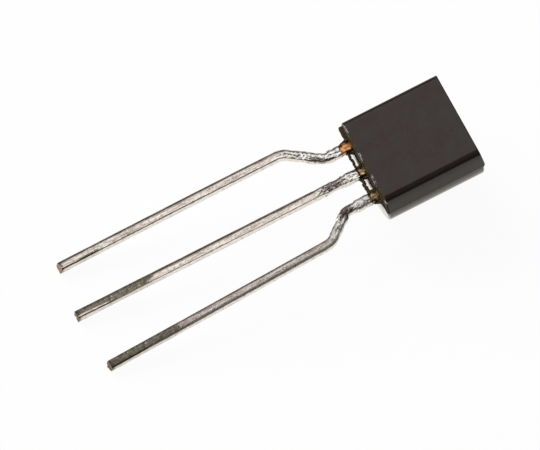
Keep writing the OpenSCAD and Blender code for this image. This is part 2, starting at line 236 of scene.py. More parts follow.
# Epoxy: roughness and specular levels
RESIN_ROUGH = (0.13, 0.17)  # least and most
FLUX_ROUGH = 0.6
FILM_ROUGH = 0.08
BACK_GLOSS = 0.5
FLAT_GLOSS = 0.36
WALL_GLOSS = 0.2
FLUX_GLOSS = 0.06

# Flux on the case's end
STAIN_SHIFT = 0.25    # how far it ran towards -Y from each lead
FLUX_TOP = 0.88       # height that it reaches everywhere
FLUX_HALF_W = 0.38    # half its width above that height, by each lead
SPECKS_HALF_W = 1.7   # its specks lie within this distance of the middle
SPECKS_DEPTH = 0.65   # and down to this far below the parting plane

# Tin: colours
TIN_STREAKS = [(0.34, (0.36, 0.30, 0.26)), (0.47, (0.71, 0.63, 0.57)), (0.66, (0.91, 0.86, 0.80))]
TIN_MOTTLE = (0.38, 0.29, 0.24)
TIN_SPECK = (0.24, 0.20, 0.17)
# A painted highlight: lighter tin on a lead's sides, standing in for their bright reflection of the
# floor
PAINTED_SIDE_SHEEN = (0.95, 0.935, 0.92)
BRIGHT_FLECK = (0.95, 0.92, 0.87)
FRESH_TIN = (0.94, 0.92, 0.89)
# Painted shade along a lead's rolled edge, in its dark and its pale streaks
DARK_EDGE_SHADE = (0.085, 0.06, 0.035)
PALE_EDGE_SHADE = (0.25, 0.19, 0.14)
DARK_SPOT = (0.05, 0.035, 0.02)
PALE_SPOT = (0.35, 0.29, 0.22)
SCORCH = [(0.40, (0.42, 0.36, 0.36)), (0.48, (0.14, 0.10, 0.09)), (0.56, (0.04, 0.022, 0.018))]
DULL_BROWN = (0.13, 0.105, 0.075)
DULL_GREY = (0.32, 0.27, 0.255)
DULL_OLIVE = (0.31, 0.29, 0.20)
SEAM_DIRT = (0.06, 0.035, 0.025)
TIP_DIRT = (0.11, 0.08, 0.05)
COPPER_RIM = (0.05, 0.03, 0.015)

# Patterns on a lead: their stretch along and round it, scale, detail and roughness
STREAK = ((0.5, 6), 1.6, 5, 0.65)
CLOUD = ((1.2, 2.5), 1.1, 3, 0.55)
MOTTLE = ((3, 4.5), 1.6, 4, 0.6)
SPECK = ((5, 7), 2.2, 3, 0.6)
BLOT = ((2.2, 3), 2.2, 4, 0.7)
TARNISH = ((4, 5), 1.5, 3, 0.5)
SCRATCH = ((0.8, 9), 2.2, 4, 0.6)

# Zones round a lead, measured from its lower +Y edge upwards: where each sets in and fades out
FAR_SIDE = ((0.02, 0.08), (0.3, 0.26))  # its +Y side
ROLLED_EDGE = ((0.27, 0.33), (0.66, 0.42))  # its upper +Y edge
NEAR_EDGE = ((0.77, 0.79), (0.86, 0.84))  # its upper -Y edge
NEAR_SIDE = ((0.84, 0.88), (1.2, 1.1))  # its -Y side

TIN_ROUGH = (0.30, 0.17)  # in the dark and in the bright streaks
DULL_ROUGH = 0.25     # what the dull stretch adds

# Plain metals: their grain, and for those inside the case the dark, the light and the roughness
METAL_GRAIN = (14 / MM, 4, 0.6)
SILICON = ((0.10, 0.11, 0.13), (0.16, 0.17, 0.2), 0.15)
ADHESIVE = ((0.4, 0.4, 0.42), (0.6, 0.6, 0.62), 0.5)
GOLD = ((0.8, 0.58, 0.2), (0.95, 0.72, 0.32), 0.2)

# Floor and world
FLOOR_HALF = 3        # metres
FLOOR_GRID = 8
FLOOR_ROUGH = 0.9
FLOOR_CLOUD = (0.3 / MM, 2, 0.5)
FLOOR_DARK = (0.86, 0.86, 0.855)
FLOOR_LIGHT = (0.9, 0.9, 0.895)
CAMERA_GLOW = 0.95    # how far the floor glows evenly, as the camera sees it
GLOSSY_GLOW = 0.8     # and as it shows in what shines
WHITE = (1, 1, 1)
WARM_WHITE = (0.98, 0.95, 0.88)
WORLD_LIGHT = 0.12    # the white world's strength, for all but the camera

# Lamps: the direction in which each is seen from the case, in the device's frame, its distance
# and size in metres, and its radiance
LAMPS = {
    "softbox": dict(direction=(0.05, 0.50, 0.86), distance=0.3, size=(0.5, 0.19), radiance=1.1),
    "fill": dict(direction=(-0.2, 0.75, 0.6), distance=0.5, size=(0.3, 0.3), radiance=10,
                 glossy=False),
    "glint": dict(direction=(-0.76, 0.33, 0.56), distance=0.5, size=(0.16, 0.16), radiance=12,
                  diffuse=False),
}

# Camera, fitted to the photograph: the device's turns about Y, X and Z in radians, the picture's
# scale, and the pixel on which the device's origin lies
IMAGE_W = 540
IMAGE_H = 450
TURN_Y = 0.1144
TURN_X = -0.3379
TURN_Z = 0.5076
PIXELS_PER_MM = 23.5898
ORIGIN_PIXEL = (364.7525, 172.0467)
CAMERA_DISTANCE = 800
SENSOR = 36
CLIP = (0.05, 10)     # metres


def mount(name):
    return next(m for m in frame["record"]["mounts"] if m["name"] == name)


def device_frame():
    """Takes a point of the device's frame, in millimetres, to the shared frame, in metres."""
    z = Vector(mount("flat_front")["axis"]).normalized()
    x = -Vector(mount("base_solder_end")["axis"]).normalized()
    y = z.cross(x)
    origin = Vector(mount("flat_front")["pos_m"]) - (x * CASE_L / 2 + z * FRONT_H) * MM
    turn = Matrix((x, y, z)).transposed().to_4x4()
    return Matrix.Translation(origin) @ turn @ Matrix.Scale(MM, 4)


DEVICE = device_frame()
TURN = DEVICE.to_3x3().normalized()


def make_object(name, mesh, materials):
    for material in materials:
        mesh.materials.append(material)
    obj = bpy.data.objects.new(name, mesh)
    bpy.context.scene.collection.objects.link(obj)
    return obj


def loft(bm, rings, closed=True):
    """Joins rings of vertices, one after another, with quads."""
    for a, b in zip(rings, rings[1:]):
        for i in range(len(a) if closed else len(a) - 1):
            j = (i + 1) % len(a)
            bm.faces.new((a[i], a[j], b[j], b[i]))


def capped_loft(bm, rings):
    """Joins closed rings, and closes both ends."""
    loft(bm, rings)
    bm.faces.new(rings[0][::-1])
    bm.faces.new(rings[-1])


def grid_cube(cuts):
    """A unit cube about the origin, with each face cut into a grid."""
    bm = bmesh.new()
    bmesh.ops.create_cube(bm, size=1)
    bmesh.ops.subdivide_edges(bm, edges=bm.edges, cuts=cuts, use_grid_fill=True)
    return bm


def finished_mesh(name, bm, sharp_angle=CASE_SHARP):
    """A mesh in the shared frame, shaded smooth between its sharp edges."""
    bm.transform(DEVICE)
    bmesh.ops.recalc_face_normals(bm, faces=bm.faces)
    for face in bm.faces:
        face.smooth = True
    mesh = bpy.data.meshes.new(name)
    bm.to_mesh(mesh)
    bm.free()
    mesh.set_sharp_from_angle(angle=math.radians(sharp_angle))
    return mesh


def smooth(low, high, value):
    """Rises smoothly from 0 at low to 1 at high."""
    t = min(1, max(0, (value - low) / (high - low)))
    return t * t * (3 - 2 * t)


# Case

def front_profile(z, top, draft, edge):
    """Half-size of the front half at a height: a drafted wall that rolls over into the flat, by
    its own distances across and down."""
    across, down = edge
    wall = top + (FRONT_H - z) * math.tan(math.radians(draft))
    rise = max(0, z - FRONT_H + down) / down
    return wall - across * (1 - math.sqrt(max(0, 1 - rise * rise)))


def side_bulge(height):
    """How far the long sides bulge at a share of the height: SIDE_CROWN at two thirds of it."""
    return 27 / 4 * SIDE_CROWN * (1 - height) * height ** 2


def front_ring(bm, z, inset=0):
    """Outline of the front half at a height: a rectangle with small corner radii. Its top end
    is drawn in towards the parting plane and runs on a little below it."""
    above = max(z, 0)
    half_l = CASE_L / 2 - FRONT_H * math.tan(math.radians(LEAD_END_DRAFT))
    lip = LIP_INSET * (max(0, LIP_ABOVE - z) / (LIP_ABOVE + LIP_BELOW))
    top_end = front_profile(above, half_l, TOP_END_DRAFT, FLAT_END) - CORNER_R
    top_end -= lip + (inset if z >= 0 else 0)
    lead_end = front_profile(above, half_l, LEAD_END_DRAFT, FLAT_END) - inset - CORNER_R
    side = front_profile(above, FLAT_W / 2, SIDE_DRAFT, FLAT_EDGE) - inset - CORNER_R
    side += side_bulge(above / FRONT_H)
    centres = ((top_end, side), (-lead_end, side), (-lead_end, -side), (top_end, -side))
    ring = []
    for quarter, (x, y) in enumerate(centres):
        for k in range(CORNER_STEPS + 1):
            a = math.radians(90 * quarter + 90 * k / CORNER_STEPS)
            corner = (CASE_L / 2 + x + CORNER_R * math.cos(a), y + CORNER_R * math.sin(a), z)
            ring.append(bm.verts.new(corner))
    return ring


def front_half():
    bm = bmesh.new()
    wall = FRONT_H - FLAT_EDGE[1]
    heights = [GROOVE + SUPPORT]
    heights += [wall * k / WALL_STEPS for k in range(1, WALL_STEPS)]
    heights.append(wall - SUPPORT)
    for angle in range(0, 91, FLAT_EDGE_ANGLE):
        heights.append(FRONT_H - FLAT_EDGE[1] * (1 - math.sin(math.radians(angle))))
    rings = [front_ring(bm, -LIP_BELOW * k / LIP_STEPS, PLUG_INSET) for k in range(LIP_STEPS, -1, -1)]
    rings += [front_ring(bm, 0, GROOVE), front_ring(bm, GROOVE)]
    rings += [front_ring(bm, height) for height in heights]
    rings.append(front_ring(bm, FRONT_H, SUPPORT))
    capped_loft(bm, rings)
    return finished_mesh("front_half", bm)


def back_stations():
    """The round back's profile from one end's middle to the other's, as (x, radius)."""
    draft = math.radians(BACK_END_DRAFT)
    centre_r = BACK_R - BACK_EDGE_R
    centre_x = centre_r * math.tan(draft) + BACK_EDGE_R / math.cos(draft)
    half = [(r * math.tan(draft), r) for r in (*END_RADII, centre_r - SUPPORT)]
    for angle in range(0, 91, BACK_EDGE_ANGLE):
        a = math.radians(max(angle, BACK_END_DRAFT))
        half.append((centre_x - BACK_EDGE_R * math.cos(a), centre_r + BACK_EDGE_R * math.sin(a)))
    half.append((centre_x + SUPPORT, BACK_R))
    length = CASE_L + LEAD_END_REACH + TOP_END_REACH
    stations = half + [(length - x, r) for x, r in half[::-1]]
    return [(x - LEAD_END_REACH, r) for x, r in stations]


def back_ring(bm, x, r):
    """Outline of the round back at a station, from its -Y side round to its +Y side."""
    reach = math.acos(-BACK_AXIS / r)
    lean = math.tan(math.radians(BACK_LEAN))
    ring = []
    for k in range(BACK_STEPS + 1):
        a = reach * (2 * k / BACK_STEPS - 1)
        z = 0 if k in (0, BACK_STEPS) else -BACK_AXIS - r * math.cos(a)
        slant = -z * lean * (1 - (x + LEAD_END_REACH) / CASE_L)
        end = CASE_L + TOP_END_REACH * min(1, -z / END_RISE)
        ring.append(bm.verts.new((min(x + slant, end), MISMATCH_Y + r * math.sin(a), z)))
    return ring


def back_half():
    bm = bmesh.new()
    rings = [back_ring(bm, x, r) for x, r in back_stations()]
    loft(bm, rings, closed=False)
    slant = BACK_AXIS * math.tan(math.radians(BACK_LEAN))
    for ring, x in ((rings[0][::-1], slant - LEAD_END_REACH), (rings[-1], CASE_L + TOP_END_REACH)):
        middle = bm.verts.new((x, MISMATCH_Y, -BACK_AXIS))
        for a, b in zip(ring, ring[1:] + ring[:1]):
            bm.faces.new((a, b, middle))
    bm.faces.new([ring[0] for ring in rings] + [ring[-1] for ring in rings[::-1]])
    return finished_mesh("back_half", bm)


def gate_scar():
    """What the runner left when it was broken off: a low stub with a torn face."""
    root = CASE_L + TOP_END_REACH - BACK_EDGE_R
    bm = grid_cube(GATE_CUTS)
    for vert in bm.verts:
        x, y, z = vert.co
        on_face = x > 0.49
        torn = noise.noise(vert.co * GATE_GRAIN) if on_face else 0
        step = GATE_TEAR * GATE_RISE * (torn - 0.5)
        if on_face:
            step -= GATE_ROUND * GATE_RISE * (smooth(*GATE_RIM, abs(y)) + smooth(*GATE_RIM, abs(z)))
        out = root + (x + 0.5) * (BACK_EDGE_R + GATE_RISE) + step
        vert.co = (out, y * GATE_W, (z - 0.5) * GATE_H)
    return finished_mesh("gate_scar", bm)


def web_ring(bm, lead, side, x, away):
    """Outline of a web at a distance; away goes from 0 at the case to 1 at the web's far end."""
    width = WEB_TIP_W + (WEB_W - WEB_TIP_W) * (1 - away) ** 1.5
    top = WEB_T * (1 - WEB_FALL * away * away)
    inner = lead["y"] + side * (ROOT_W / 2 - WEB_OVERLAP)
    points = [(x, inner, WEB_SKEW)]
    for row in range(WEB_ROWS + 1):
        z = top * row / WEB_ROWS
        at = Vector((x * WEB_GRAIN, z * WEB_GRAIN + side * 3, lead["seed"]))
        ragged = WEB_TEAR[0] * noise.noise(at) + WEB_TEAR[1] * noise.noise(at * WEB_FINE)
        belly = WEB_BELLY * math.sin(math.pi * row / WEB_ROWS)
        outer = lead["y"] + side * (ROOT_W / 2 + width + belly + ragged * min(1, width / WEB_CALM))
        out = WEB_TEAR_ELSEWHERE[0] * ragged if away > 0 else 0
        up = WEB_TEAR_ELSEWHERE[1] * ragged if row == WEB_ROWS else 0
        points.append((x + out, outer, z + up))
    points.append((x, inner, top - WEB_SKEW))
    return [bm.verts.new(point) for point in points]


def web(lead, side, reach):
    """Torn flash in the corner between one side of a lead and the case's end."""
    bm = bmesh.new()
    rings = []
    for k in range(WEB_STEPS + 1):
        x = WEB_ROOT - (WEB_ROOT + reach) * k / WEB_STEPS
        rings.append(web_ring(bm, lead, side, x, min(1, max(0, -x / reach))))
    capped_loft(bm, rings)
    return finished_mesh("web", bm)


def bridge_ring(bm, t, y, reach, half_t, seed):
    """Outline of a strip of flash at y, a share t of the way along it."""
    at = Vector((t * BRIDGE_GRAIN, seed, 0))
    fine_at = at * BRIDGE_FINE
    middle = -reach + BRIDGE_WANDER * noise.noise(at) + BRIDGE_WANDER * noise.noise(fine_at)
    half_t *= 1 + BRIDGE_THINNING * noise.noise(fine_at + Vector((0, 7, 0)))
    ring = []
    for i in range(BRIDGE_SIDES):
        a = math.tau * i / BRIDGE_SIDES
        surface_at = Vector((t * BRIDGE_TEAR_GRAIN, math.cos(a), math.sin(a) + seed))
        ragged = 1 + BRIDGE_TEAR * noise.noise(surface_at)
        x = middle + half_t * ragged * math.cos(a)
        z = BRIDGE_Z + BRIDGE_HALF_H * ragged * math.sin(a)
        ring.append(bm.verts.new((x, y, z)))
    return ring


def flash_bridge(start, end, reach, half_t, seed):
    """A thin torn strip of flash that was left between two leads, off the case's end."""
    bm = bmesh.new()
    rings = []
    for k in range(BRIDGE_STEPS + 1):
        t = k / BRIDGE_STEPS
        rings.append(bridge_ring(bm, t, start + (end - start) * t, reach, half_t, seed))
    capped_loft(bm, rings)
    return finished_mesh("flash_bridge", bm)


def end_flash():
    """The flash, as thick as the strip, beside the collector lead on the case's end."""
    low = PITCH + ROOT_W / 2
    high = BACK_R - FLASH_MARGIN
    grain_across, grain_up, seed = FLASH_GRAIN
    bm = grid_cube(FLASH_CUTS)
    for vert in bm.verts:
        x, y, z = vert.co
        across = low + (y + 0.5) * (high - low)
        torn = noise.noise(Vector((across * grain_across, z * grain_up, seed)))
        ragged = FLASH_TEAR * torn if x < 0 else 0
        out = FLASH_ROOT + (x - 0.5) * (FLASH_REACH + FLASH_ROOT) + ragged
        vert.co = (out, across, FLASH_SKIN + (z + 0.5) * (LEAD_T - 2 * FLASH_SKIN))
    return finished_mesh("end_flash", bm)


def cad_solid(name):
    """A closed copy of a CAD node's mesh, in the device's frame."""
    bm = bmesh.new()
    bm.from_mesh(frame["nodes"][name].data)
    bmesh.ops.remove_doubles(bm, verts=bm.verts, dist=0.0002 * MM)
    bm.transform(DEVICE.inverted())
    return bm


def combine(body, operation, meshes):
    """The body mesh with closed meshes united with it or cut out of it."""
    group = bpy.data.collections.new("operands")
    bpy.context.scene.collection.children.link(group)
    target = bpy.data.objects.new("target", body)
    bpy.context.scene.collection.objects.link(target)
    operands = [bpy.data.objects.new("operand", mesh) for mesh in meshes]
    for operand in operands:
        group.objects.link(operand)
    modifier = target.modifiers.new("combine", "BOOLEAN")
    modifier.operation = operation
    modifier.solver = "EXACT"
    modifier.operand_type = "COLLECTION"
    modifier.collection = group
    evaluated = target.evaluated_get(bpy.context.evaluated_depsgraph_get())
    mesh = bpy.data.meshes.new_from_object(evaluated)
    for obj in [target] + operands:
        bpy.data.objects.remove(obj)
    bpy.data.collections.remove(group)
    return mesh


def build_case():
    pieces = [back_half(), gate_scar(), end_flash()]
    pieces += [flash_bridge(**bridge) for bridge in BRIDGES]
    for lead in LEADS.values():
        for side, reach in zip((1, -1), lead["webs"]):
            pieces.append(web(lead, side, reach))
    mesh = combine(front_half(), "UNION", pieces)
    held = [finished_mesh(name, cad_solid(name)) for name in INNER_NODES]
    mesh = combine(mesh, "DIFFERENCE", held)
    mesh.name = "case"
    mesh.set_sharp_from_angle(angle=math.radians(CASE_SHARP))
    obj = make_object("case_moulding", mesh, [epoxy()])
    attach(obj, "root")
    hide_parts("moulded_case")


# Leads

def lead_steps(lead):
    """Lengths and turns, in radians, of a lead's runs and bends from the case to its tip."""
    if "knee" not in lead:
        return [(lead["reach"], 0)]
    jog, splay = math.radians(lead["jog"]), math.radians(lead["splay"])
    out = lead["spread"] - PITCH
    elbow_x = lead["knee"] + out / math.tan(jog)
    knee_cut = KNEE_R * math.tan(jog / 2)
    elbow_cut = ELBOW_R * math.tan((jog - splay) / 2)
    return [
        (lead["knee"] - knee_cut, 0),
        (KNEE_R * jog, jog),
        (out / math.sin(jog) - knee_cut - elbow_cut, 0),
        (ELBOW_R * (jog - splay), splay - jog),
        ((lead["reach"] - elbow_x) / math.cos(splay) - elbow_cut, 0),
    ]


def lead_stations(lead):
    """Rings' centres along a lead, as (distance along it, x, y, heading)."""
    s, x, y, heading = -INSIDE, INSIDE, lead["y"], 0
    stations = [(s, x, y, heading)]
    for length, turn in [(INSIDE, 0)] + lead_steps(lead):
        count = max(1, round(length / STATION))
        for _ in range(count):
            middle = heading + turn / count / 2
            x -= math.cos(middle) * length / count
            y += lead["side"] * math.sin(middle) * length / count
            heading += turn / count
            s += length / count
            stations.append((s, x, y, heading))
    return stations


def between(start, end, steps):
    """Points that divide a line, without its ends."""
    shares = [k / (steps + 1) for k in range(1, steps + 1)]
    return [(start[0] + (end[0] - start[0]) * t, start[1] + (end[1] - start[1]) * t) for t in shares]


def section(half_w, low, high, edges):
    """Points round a strip's section, as (across, height), from its underside. Each edge is
    rolled over by its own distances across and down."""
    quarters = ((1, -1, -90), (1, 1, 0), (-1, 1, 90), (-1, -1, 180))
    corners = []
    for (side, level, start), (across, down) in zip(quarters, edges):
        u = side * (half_w - across)
        z = low + down if level < 0 else high - down
        angles = [math.radians(start + 90 * k / CORNER_STEPS) for k in range(CORNER_STEPS + 1)]
        corners.append([(u + across * math.cos(a), z + down * math.sin(a)) for a in angles])
    points = []
    for corner, following in zip(corners, corners[1:] + corners[:1]):
        points += corner + between(corner[-1], following[0], SIDE_STEPS)
    return points


def lumps(lead, s, across, height):
    """How far the tin stands out at a point, in millimetres: thick and uneven near the case."""
    along_grain, across_grain = LUMPS_GRAIN
    at = Vector((s * along_grain, across * across_grain, height * across_grain + lead["seed"] * 10))
    begin, full = (lead["bare"] + rise for rise in LUMPS_RISE)
    thick = smooth(begin, full, s) * (1 - smooth(*lead["lumpy"], s))
    broad = noise.noise(at)
    fine = noise.noise(at * LUMPS_FINE)
    thick_tin = thick * (THICK_LUMPS[0] * broad + THICK_LUMPS[1] * fine)
    return thick_tin + THIN_LUMPS[1] * fine + THIN_LUMPS[0] * noise.noise(at * 0.5)


def roll(lead, s):
    """Angle by which the strip is rolled about its own line, in radians."""
    broad = noise.noise(Vector((s * ROLL_GRAIN[0], lead["seed"], 0)))
    fine = noise.noise(Vector((s * ROLL_GRAIN[1], 0, 5)))
    turn = lead["lean"] + lead["twist"] * (broad + 0.5 * fine)
    return math.radians(turn * smooth(0, ROLL_START, s))


def burr(lead, s, length, u, z):
    """How far the shear's burr stands out of the tip's lower edge, both ahead and down."""
    low = smooth(*BURR_H, z)
    uneven = 0.5 + noise.noise(Vector((u * BURR_GRAIN, lead["seed"], 1)))
    return low * smooth(length - BURR_L, length, s) * uneven * lead["burr"]


def rolled_point(lead, s, u, z):
    """A point of the section, moved by the tin's lumps and the strip's roll."""
    middle = Vector((0, LEAD_T / 2))
    from_middle = Vector((u, z)) - middle
    from_middle += from_middle.normalized() * (lumps(lead, s, u, z) - TIN_SINK)
    from_middle.rotate(Matrix.Rotation(-roll(lead, s), 2))
    return middle + from_middle


def strip_outline(lead, s):
    """The strip's section at a distance along the lead: wide at its root, and coated past its
    bare copper."""
    wide = 1 - smooth(ROOT_L + ROOT_BLEND[0], ROOT_L + ROOT_BLEND[1], s)
    coat = TIN_T * smooth(lead["bare"] - TIN_RISE, lead["bare"] + TIN_RISE, s)
    half_w = (LEAD_W + (ROOT_W - LEAD_W) * wide) / 2 + coat
    return section(half_w, -coat, LEAD_T + coat, lead["edges"])


def lead_ring(bm, lead, station, length, places):
    """One ring of a lead's surface. Notes each vertex's distances along and round the lead."""
    s, x, y, heading = station
    outline = strip_outline(lead, s)
    across = Vector((lead["side"] * math.sin(heading), math.cos(heading), 0))
    along = Vector((-math.cos(heading), lead["side"] * math.sin(heading), 0))
    slant = smooth(length - CUT_BLEND, length, s) * math.tan(math.radians(lead["cut"]))
    sway = lead["sway"] * math.sin(math.pi * s / length) + lead["toe"] * max(0, s) / length
    ring = []
    distance = 0
    for (last_u, last_z), (u, z) in zip(outline[-1:] + outline, outline):
        distance += math.hypot(u - last_u, z - last_z)
        hang = burr(lead, s, length, u, z)
        ahead = slant * (LEAD_T / 2 - z) + hang
        out, up = rolled_point(lead, s, u, z)
        vert = bm.verts.new(Vector((x, y + sway, up - hang)) + across * out + along * ahead)
        places[vert] = (s, distance)
        ring.append(vert)
    return ring


def cap_rings(bm, tip, length, places):
    """The rings on a lead's cut face, inside the ring at its tip."""
    middle = sum((v.co for v in tip), Vector()) / len(tip)
    rings = []
    for scale in CAP_RINGS:
        ring = [bm.verts.new(middle + (v.co - middle) * scale) for v in tip]
        for new, old in zip(ring, tip):
            places[new] = (length + (1 - scale) * LEAD_T / 2, places[old][1])
        rings.append(ring)
    return rings


def mapped_loft(bm, rings, places, uv, material_index):
    """Joins a lead's rings with quads, mapped by their distances along and round the lead."""
    for a, b in zip(rings, rings[1:]):
        for i in range(len(a)):
            j = (i + 1) % len(a)
            face = bm.faces.new((a[i], a[j], b[j], b[i]))
            face.material_index = material_index
            for loop in face.loops:
                s, distance = places[loop.vert]
                if j == 0 and loop.vert in (a[0], b[0]):
                    distance = places[a[-1]][1] + places[a[0]][1]
                loop[uv].uv = (s, distance)


def add_inner_part(bm, name):
    """Adds the stamped part of a lead that lies inside the case, cut off where the strip begins."""
    inner = cad_solid(name)
    geometry = inner.verts[:] + inner.edges[:] + inner.faces[:]
    bmesh.ops.bisect_plane(
        inner, geom=geometry, plane_co=(0, 0, 0), plane_no=(1, 0, 0), clear_inner=True)
    bmesh.ops.holes_fill(inner, edges=[edge for edge in inner.edges if edge.is_boundary])
    mesh = bpy.data.meshes.new("inner")
    inner.to_mesh(mesh)
    inner.free()
    bm.from_mesh(mesh)


def lead_mesh(name, lead):
    """A lead: its strip, whose material is the first, its cut faces and its part in the case."""
    bm = bmesh.new()
    uv = bm.loops.layers.uv.new("along_and_round")
    places = {}
    stations = lead_stations(lead)
    length = stations[-1][0]
    rings = [lead_ring(bm, lead, station, length, places) for station in stations]
    caps = cap_rings(bm, rings[-1], length, places)
    mapped_loft(bm, rings, places, uv, 0)
    mapped_loft(bm, rings[-1:] + caps, places, uv, 1)
    for ring in (rings[0][::-1], caps[-1]):
        bm.faces.new(ring).material_index = 1
    add_inner_part(bm, name)
    return finished_mesh(name, bm, LEAD_SHARP)


def build_lead(name, lead):
    cut_face = plain_metal(name + "_cut", *lead["cut_metal"])
    obj = make_object(name + "_tinned", lead_mesh(name, lead), [lead_metal(name, lead), cut_face])
    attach(obj, "root")
    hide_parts(name)


# Materials

class Nodes:
    """The nodes of a material or the world, with short calls for those used here."""

    def __init__(self, owner):
        owner.use_nodes = True
        self.owner = owner
        self.tree = owner.node_tree
        self.shader = self.tree.nodes.get("Principled BSDF")

    def feed(self, value, socket):
        """Sets a socket to a number or a colour, or links another node's output to it."""
        if isinstance(value, tuple):
            socket.default_value = (*value, 1)
        elif isinstance(value, (int, float)):
            socket.default_value = value
        else:
            self.tree.links.new(value, socket)

    def add(self, kind, inputs=None, **settings):
        """A new node with its settings, and its inputs fed by name or number."""
        node = self.tree.nodes.new(kind)
        for key, value in settings.items():
            setattr(node, key, value)
        for key, value in (inputs or {}).items():
            self.feed(value, node.inputs[key])
        return node

    def set(self, name, value):
        self.feed(value, self.shader.inputs[name])

    def position(self):
        return self.add("ShaderNodeTexCoord").outputs["Object"]

    def mapping(self, vector, **values):
        node = self.add("ShaderNodeMapping", {"Vector": vector})
        for key, value in values.items():
            node.inputs[key].default_value = value
        return node.outputs["Vector"]

    def device(self):
        """The place in the device's frame, in millimetres."""
        location, rotation, scale = DEVICE.inverted().decompose()
        turn = rotation.to_euler()
        return self.mapping(self.position(), Location=location, Rotation=turn, Scale=scale)

    def uv(self, stretch=(1, 1)):
        return self.mapping(self.add("ShaderNodeUVMap").outputs["UV"], Scale=(*stretch, 1))

    def split(self, vector):
        node = self.add("ShaderNodeSeparateXYZ", {"Vector": vector})
        return [node.outputs[axis] for axis in "XYZ"]

    def noise(self, vector, scale, detail, rough):
        inputs = {"Vector": vector, "Scale": scale, "Detail": detail, "Roughness": rough}
        return self.add("ShaderNodeTexNoise", inputs).outputs["Fac"]

    def ramp(self, value, stops):
        node = self.add("ShaderNodeValToRGB", {"Fac": value})
        ramp = node.color_ramp
        while len(ramp.elements) < len(stops):
            ramp.elements.new(0.5)
        for element, (at, colour) in zip(ramp.elements, stops):
            element.position = at
            element.color = (*colour, 1)
        return node.outputs["Color"]

    def math(self, operation, *values):
        inputs = dict(enumerate(values))
        return self.add("ShaderNodeMath", inputs, operation=operation).outputs["Value"]

    def plus(self, a, b):
        return self.math("ADD", a, b)

    def times(self, a, b):
        return self.math("MULTIPLY", a, b)

    def mix(self, factor, a, b):
        """Two colours mixed. They are the node's inputs 6 and 7, and its output 2."""
        inputs = {"Factor": factor, 6: a, 7: b}
        return self.add("ShaderNodeMix", inputs, data_type="RGBA").outputs[2]

    def bump(self, height, strength, distance):
        inputs = {"Height": height, "Strength": strength, "Distance": distance}
        self.set("Normal", self.add("ShaderNodeBump", inputs).outputs["Normal"])

    def map_range(self, value, low, high, to_low=0, to_high=1):
        inputs = {"Value": value, "From Min": low, "From Max": high, "To Min": to_low, "To Max": to_high}
        return self.add("ShaderNodeMapRange", inputs).outputs["Result"]

    def below(self, value, limit, soft, amount=1):
        """The amount where the value is below a limit, fading to 0 above it."""
        return self.map_range(value, limit + soft, limit - soft, 0, amount)

    def above(self, value, limit, soft, amount=1):
        """The amount where the value is above a limit, fading to 0 below it."""
        return self.map_range(value, limit - soft, limit + soft, 0, amount)

    def contrast(self, value, half, low=0, high=1):
        """Stretches a noise's values between 0.5 - half and 0.5 + half to a range."""
        return self.map_range(value, 0.5 - half, 0.5 + half, low, high)

    def band(self, value, begin, end):
        """1 between two limits, each of which is a range with soft ends."""
        return self.times(self.map_range(value, *begin), self.map_range(value, *end))


def resin_colour(n, grain, cloud):
    """Black with a purple or an olive cast, and a paler grain."""
    shade = n.mix(n.contrast(cloud, 0.15), PURPLE_BLACK, OLIVE_BLACK)
    return n.mix(n.contrast(grain, 0.2, 0, 0.6), shade, PALE_GRAIN)


def resin_gloss(n, z):
    """Specular level of the resin, which is lowest on the front half's walls."""
    wall = n.band(z, (0, 0.02), (FRONT_H - 0.02, FRONT_H - 0.12))
    elsewhere = n.map_range(z, -0.01, 0.01, BACK_GLOSS, FLAT_GLOSS)
    return n.map_range(wall, 0, 1, elsewhere, WALL_GLOSS)


def flux_cover(n, place, lead_gap, wander):
    """Where flux covers the end: on the front half up to a wandering line, higher by each lead,
    and further down in specks among the leads."""
    _, y, z = n.split(place)
    near_lead = n.below(n.plus(lead_gap, n.times(wander, 0.4)), FLUX_HALF_W, 0.04)
    low = n.below(n.plus(z, n.times(wander, 0.3)), FLUX_TOP, 0.04)
    cover = n.times(n.math("MAXIMUM", low, near_lead), n.above(z, -0.02, 0.01))
    among_leads = n.below(n.math("ABSOLUTE", y), SPECKS_HALF_W, 0.1)
    among_leads = n.times(among_leads, n.above(z, -SPECKS_DEPTH, 0.15))
    specks = n.times(n.above(n.noise(place, *FLUX_SPECKS), 0.485, 0.025), among_leads)
    return n.math("MAXIMUM", cover, specks)


def flux_colour(n, place, lead_gap, wander):
    """Dark and pale flux, with patches the colour of rust close to the leads."""
    flux = n.mix(n.noise(place, *FLUX_BLOTS), DARK_FLUX, PALE_FLUX)
    near_lead = n.below(n.plus(lead_gap, n.times(wander, 0.5)), 0.14, 0.1, 0.8)
    patches = n.above(n.noise(place, *RUST_PATCHES), 0.49, 0.09)
    return n.mix(n.times(near_lead, patches), flux, RUST)


